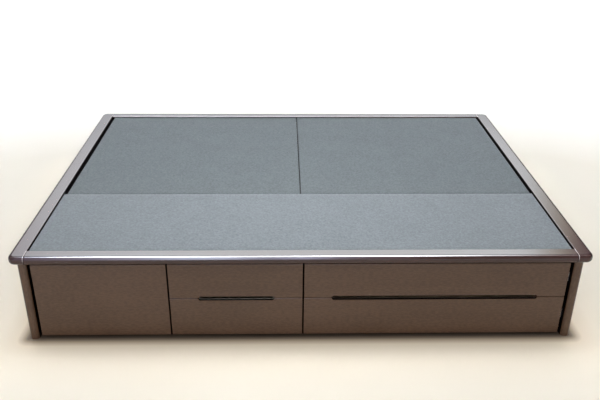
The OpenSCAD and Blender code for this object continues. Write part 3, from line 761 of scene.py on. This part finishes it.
def makeLever(shape):
    # release lever of a runner: a slim blade along Y that widens to a ribbed thumb end, its back on x = 0
    neck, rib = ({"value": (0, -shape["thumb"] * shape[part], 0)} for part in ("neck", "rib"))
    deselect()
    bpy.ops.mesh.primitive_cube_add(size=1, location=(shape["thick"] / 2, 0, 0))
    lever = bpy.context.object
    lever.name = "lever"
    lever.scale = (shape["thick"], shape["length"], shape["height"] * shape["waist"])
    settle(lever)
    edit(lever)
    choose(lever, "polygons", lambda face: face.normal.y < -0.9)
    bpy.ops.mesh.extrude_region_move(TRANSFORM_OT_translate=neck)
    bpy.ops.transform.resize(value=(1, 1, shape["flare"]))
    for height in (shape["dip"], 1 / shape["dip"]) * shape["ribs"]:
        bpy.ops.mesh.extrude_region_move(TRANSFORM_OT_translate=rib)
        bpy.ops.transform.resize(value=(1, 1, height))
    leaveEdit()
    apply(lever, "BEVEL", width=shape["edge"], segments=2, limit_method="ANGLE", angle_limit=shape["sharp"])
    return lever


woodScrew = makeScrew("woodScrew", woodScrewShape)
runnerScrew = makeScrew("runnerScrew", runnerScrewShape)
coverCap = makeCoverCap(capShape)
lever = makeLever(leverShape)

# where they sit: lift keeps a screw's rim off its board, and bed is the depth of a runner screw's face in the
# space between the drawer and the wall, just under the runner's steel
lift = 0.00005
runnerSpace, runnerSteel, runnerSink = 0.0127, 0.0012, 0.00008
bed = runnerSteel - runnerSink
drawerSpots = {"holeEnds": 0.040, "backScrews": (0.016, 0.094), "capIn": 0.034, "caps": (0.030, 0.085),
               "leverIn": 0.126, "leverFromWall": 0.0089}


def onBothSides(left, right, places, sides=("-x", "+x")):
    # spots on a left and a right face, each with its turn, at the same places on both
    return [((x, y, z), facing(side)) for x, side in zip((left, right), sides) for y, z in places]


carcassSpots = []
for drawer in drawers:
    body = drawer + "_drawer"
    runnerLow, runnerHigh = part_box(drawer + "_drawer_runners")
    level = (runnerLow.z + runnerHigh.z) / 2
    holesY = (runnerLow.y + drawerSpots["holeEnds"], (runnerLow.y + runnerHigh.y) / 2,
              runnerHigh.y - drawerSpots["holeEnds"])
    holes = [(y, level) for y in holesY]
    leftSide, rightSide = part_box(drawer + "_left_side"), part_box(drawer + "_right_side")
    outer = (leftSide[0].x, rightSide[1].x)
    wall = (outer[0] - runnerSpace, outer[1] + runnerSpace)
    carcassSpots += onBothSides(wall[0] + bed, wall[1] - bed, holes, ("+x", "-x"))
    spots = onBothSides(outer[0] - bed, outer[1] + bed, holes)
    finishPiece(copied(runnerScrew, spots), drawer + "RunnerScrews", zincSteel, body)
    # wood screws through the sides into the back
    backLow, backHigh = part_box(drawer + "_back")
    places = [((backLow.y + backHigh.y) / 2, leftSide[0].z + up) for up in drawerSpots["backScrews"]]
    spots = onBothSides(outer[0] - lift, outer[1] + lift, places)
    finishPiece(copied(woodScrew, spots), drawer + "BackScrews", zincSteel, body)
    # caps over the cam fittings that hold the front
    places = [(leftSide[0].y + drawerSpots["capIn"], leftSide[0].z + up) for up in drawerSpots["caps"]]
    spots = onBothSides(leftSide[1].x, rightSide[0].x, places, ("+x", "-x"))
    finishPiece(copied(coverCap, spots), drawer + "CoverCaps", palePlastic, body)
    # levers that release the runners
    leverX = (wall[0] + drawerSpots["leverFromWall"],
              wall[1] - drawerSpots["leverFromWall"] - leverShape["thick"])
    spots = [((x, leftSide[0].y + drawerSpots["leverIn"], level), facing("+z")) for x in leverX]
    finishPiece(copied(lever, spots), drawer + "ReleaseLevers", blackPlastic, body)
finishPiece(copied(runnerScrew, carcassSpots), "carcassRunnerScrews", zincSteel, "carcass")

# screws through the cleats under the deck and the lids' edges, by the cleats' thickness on each side
cleatLow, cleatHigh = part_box("deck_cleats")
cleatZ = (cleatLow.z + cleatHigh.z) / 2
cleatThick = {"front": 0.020, "back": 0.0185, "head": 0.032, "foot": 0.028}
cleatSpots = {"along": (-0.86, -0.62, -0.38, -0.14, 0.15, 0.39, 0.63, 0.87), "ends": (-0.16, 0.0, 0.47, 0.64)}
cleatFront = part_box("long_partition")[1].y + cleatThick["front"] + lift
cleatBack = cleatHigh.y - cleatThick["back"] - lift
cleatHead = cleatLow.x + cleatThick["head"] + lift
cleatFoot = cleatHigh.x - cleatThick["foot"] - lift
spots = [((x, cleatFront, cleatZ), facing("+y")) for x in cleatSpots["along"]]
spots += [((x, cleatBack, cleatZ), facing("-y")) for x in cleatSpots["along"]]
spots += onBothSides(cleatHead, cleatFoot, [(y, cleatZ) for y in cleatSpots["ends"]], ("+x", "-x"))
finishPiece(copied(woodScrew, spots), "cleatScrews", zincSteel, "carcass")

# screws down into the bridge's hollow, on one side of its middle and the other in turn
bridgeSpots = {"z": 0.3301, "x": (-0.011, 0.011, -0.011, 0.011), "y": (-0.15, 0.10, 0.40, 0.62)}
bridgeLow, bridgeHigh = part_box("lid_bridge")
bridgeX = (bridgeLow.x + bridgeHigh.x) / 2
spots = [((bridgeX + x, y, bridgeSpots["z"] + lift), facing("+z"))
         for x, y in zip(bridgeSpots["x"], bridgeSpots["y"])]
finishPiece(copied(woodScrew, spots), "bridgeScrews", zincSteel, "carcass")

# screws up through the lids' battens
battenSpots = {"wide": 0.045, "y": (-0.16, 0.04, 0.24, 0.44, 0.63)}
for end in ("head", "foot"):
    battenLow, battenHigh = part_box(end + "_lid_battens")
    middles = (battenLow.x + battenSpots["wide"] / 2, battenHigh.x - battenSpots["wide"] / 2)
    spots = [((x, y, battenLow.z - lift), facing("-z")) for x in middles for y in battenSpots["y"]]
    finishPiece(copied(woodScrew, spots), end + "LidScrews", zincSteel, end + "_lid")

for source in (woodScrew, runnerScrew, coverCap, lever):
    bpy.data.objects.remove(source)
print("screws, caps and levers set")


# floor and light
# the floor's colour by distance from where the bed stands, with a painted contact shadow where they meet and
# a painted pool of light in a ring close round it, and the haze that it fades to by distance from the middle,
# sooner in front and behind
floorLook = {"size": 30, "reach": 0.5, "cloud": 0.05, "patch": rgb(190, 174, 150),
             "haze": rgb(255, 255, 254), "fade": (1.3, 2.6), "squash": (0.55, 1, 0),
             "away": ((0.0, rgb(68, 58, 48)), (0.012, rgb(112, 99, 84)), (0.03, rgb(190, 174, 150)),
                      (0.05, rgb(228, 216, 194)), (0.12, rgb(232, 223, 204)), (0.2, rgb(225, 218, 201)),
                      (0.28, rgb(219, 213, 198)), (0.5, rgb(210, 206, 194)))}


def addFloor():
    deselect()
    bpy.ops.mesh.primitive_plane_add(size=floorLook["size"], location=(0, 0, 0))
    floor = bpy.context.object
    floor.name = "floor"
    material, tree, shader, where = startMaterial("paleFloor", Roughness=0.6, Specular_IOR_Level=0.2)
    # distance from the rectangle that the bed's panels and fronts stand on
    left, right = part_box("head_end_panel")[0].x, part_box("foot_end_panel")[1].x
    front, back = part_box("plain_front")[0].y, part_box("back_panel")[1].y
    middle = ((left + right) / 2, (front + back) / 2, 0)
    half = ((right - left) / 2, (back - front) / 2, floorLook["size"])
    away = vectorMaths(tree, "SUBTRACT", where, middle)
    away = vectorMaths(tree, "SUBTRACT", vectorMaths(tree, "ABSOLUTE", away), half)
    away = vectorMaths(tree, "LENGTH", vectorMaths(tree, "MAXIMUM", away))
    # painted shadow dark at the bed's foot, then painted light a little brighter close round it
    near = colourRamp(tree, away, 0, floorLook["reach"], floorLook["away"])
    cloud = spread(tree, noise(tree, where, 2.2, 3, 0.5), 0.3, 0.7, 0.0, floorLook["cloud"])
    near = blend(tree, cloud, near, floorLook["patch"])
    far = vectorMaths(tree, "LENGTH", vectorMaths(tree, "MULTIPLY", where, floorLook["squash"]))
    colour = blend(tree, spread(tree, far, *floorLook["fade"]), near, floorLook["haze"])
    tree.links.new(colour, shader.inputs["Base Color"])
    floor.data.materials.append(material)


panels = {
    "backPanel": {"spot": (0.3, 3.8, 2.2), "aim": (0, 0, 0.7), "size": (4.8, 2.6), "glow": 0.3},
    "topPanel": {"spot": (-0.05, -0.52, 1.40), "aim": (-0.05, -0.48, 0), "size": (0.7, 0.4), "glow": 10.6},
    "frontPanel": {"spot": (-1.3, -4.3, 2.2), "aim": (-0.4, 0, 0.2), "size": (3.6, 2.4), "glow": 0.75}}


def addLight(name, spot, aim, size, glow):
    # glow is the panel's brightness, so its power follows its size
    data = bpy.data.lights.new(name, "AREA")
    data.shape = "RECTANGLE"
    data.size, data.size_y = size
    data.energy = glow * math.pi * size[0] * size[1]
    light = bpy.data.objects.new(name, data)
    light.location = spot
    light.rotation_mode = "QUATERNION"
    light.rotation_quaternion = (Vector(aim) - Vector(spot)).to_track_quat("-Z", "Y")
    light.visible_camera = False
    light.visible_glossy = False
    bpy.context.scene.collection.objects.link(light)


# what glossy surfaces mirror: skyOver by angle over the bed, with 0 behind it, 90 overhead and 180 in front,
# times skyAcross by direction, from the bed's head at -1 to its foot at 1, for each third of that arc
skyLook = {"light": 1.0, "tint": (0.98, 0.99, 1, 1), "peak": 240.0, "acrossTop": 2,
           "wallToPeak": (48, 52), "peakToFront": (104, 112)}
skyOver = (
    (0, (1.5, 1.58, 1.62)), (18, (1.8, 1.88, 1.95)), (20, (2.1, 2.2, 2.3)), (22, (3.05, 3.15, 3.25)),
    (25, (3.65, 3.8, 3.9)), (31, (5.35, 5.65, 5.8)), (34, (5.2, 5.5, 5.7)), (42, (3.4, 3.7, 4.1)),
    (54, (3.4, 3.7, 4.1)), (65.5, (3.8, 3.9, 4.1)), (73, (110, 113, 118)), (84, (150, 156, 164)),
    (88, (22, 23, 25)), (100, (10, 10.5, 12)), (120, (8.5, 9.3, 11.8)), (150, (7.5, 8.1, 10.6)),
    (180, (7.0, 7.5, 9.8)))
skyAcross = {
    "wall": (
        (-1.0, (0.06, 0.055, 0.05)), (-0.5, (0.1, 0.09, 0.09)), (-0.41, (0.3, 0.28, 0.29)),
        (-0.36, (0.55, 0.52, 0.54)), (-0.31, (0.78, 0.77, 0.79)), (-0.2, (0.94, 0.95, 0.97)),
        (-0.1, (1, 1, 1)), (0.30, (0.98, 0.98, 0.98)), (0.33, (0.88, 0.88, 0.88)),
        (0.35, (0.62, 0.59, 0.55)), (0.372, (0.38, 0.33, 0.27)), (0.395, (0.1, 0.06, 0.07)),
        (0.5, (0.02, 0.01, 0.015)), (1.0, (0.03, 0.02, 0.02))),
    "peak": (
        (-1.0, (0.01, 0.01, 0.01)), (-0.345, (0.02, 0.02, 0.02)), (-0.325, (0.2, 0.22, 0.26)),
        (-0.28, (0.6, 0.62, 0.66)), (-0.2, (1, 1, 1)), (0.18, (1, 1, 1)), (0.24, (0.5, 0.5, 0.5)),
        (0.28, (0.25, 0.25, 0.25)), (0.31, (0.19, 0.187, 0.19)), (0.345, (0.075, 0.068, 0.066)),
        (0.4, (0.014, 0.01, 0.01)), (1.0, (0.01, 0.01, 0.01))),
    "front": (
        (-1.0, (0.05, 0.05, 0.05)), (-0.36, (0.1, 0.08, 0.08)), (-0.30, (0.35, 0.31, 0.33)),
        (-0.22, (0.6, 0.58, 0.6)), (-0.15, (1.2, 1.25, 1.25)), (-0.08, (1.3, 1.35, 1.35)),
        (-0.02, (0.5, 0.48, 0.5)), (0.03, (1.0, 0.96, 1.0)), (0.07, (0.4, 0.36, 0.36)),
        (0.12, (0.2, 0.15, 0.14)), (0.22, (0.06, 0.03, 0.02)), (0.4, (0.06, 0.04, 0.03)),
        (1.0, (0.04, 0.03, 0.03)))}


def addSky():
    world = bpy.data.worlds.new("studio")
    world.use_nodes = True
    tree = world.node_tree
    soft = tree.nodes["Background"]
    soft.inputs["Color"].default_value = skyLook["tint"]
    soft.inputs["Strength"].default_value = skyLook["light"]
    away = axes(tree, addNode(tree, "ShaderNodeTexCoord").outputs["Generated"])
    angle = times(tree, maths(tree, "ARCTAN2", away["Z"], away["Y"]), 180 / math.pi)
    over = colourRamp(tree, angle, 0, 180, skyOver, skyLook["peak"])
    wall, peak, front = (colourRamp(tree, away["X"], -1, 1, skyAcross[part], skyLook["acrossTop"])
                         for part in ("wall", "peak", "front"))
    across = blend(tree, spread(tree, angle, *skyLook["wallToPeak"]), wall, peak)
    across = blend(tree, spread(tree, angle, *skyLook["peakToFront"]), across, front)
    mirrored = vectorMaths(tree, "MULTIPLY", over, across)
    strength = skyLook["acrossTop"] * skyLook["peak"]
    bright = addNode(tree, "ShaderNodeBackground", {"Color": mirrored, "Strength": strength})
    gloss = addNode(tree, "ShaderNodeLightPath").outputs["Is Glossy Ray"]
    both = addNode(tree, "ShaderNodeMixShader", {0: gloss, 1: soft.outputs[0], 2: bright.outputs[0]})
    tree.links.new(both.outputs[0], tree.nodes["World Output"].inputs["Surface"])
    bpy.context.scene.world = world


addFloor()
for name, panel in panels.items():
    addLight(name, **panel)
addSky()
print("floor and lights set")
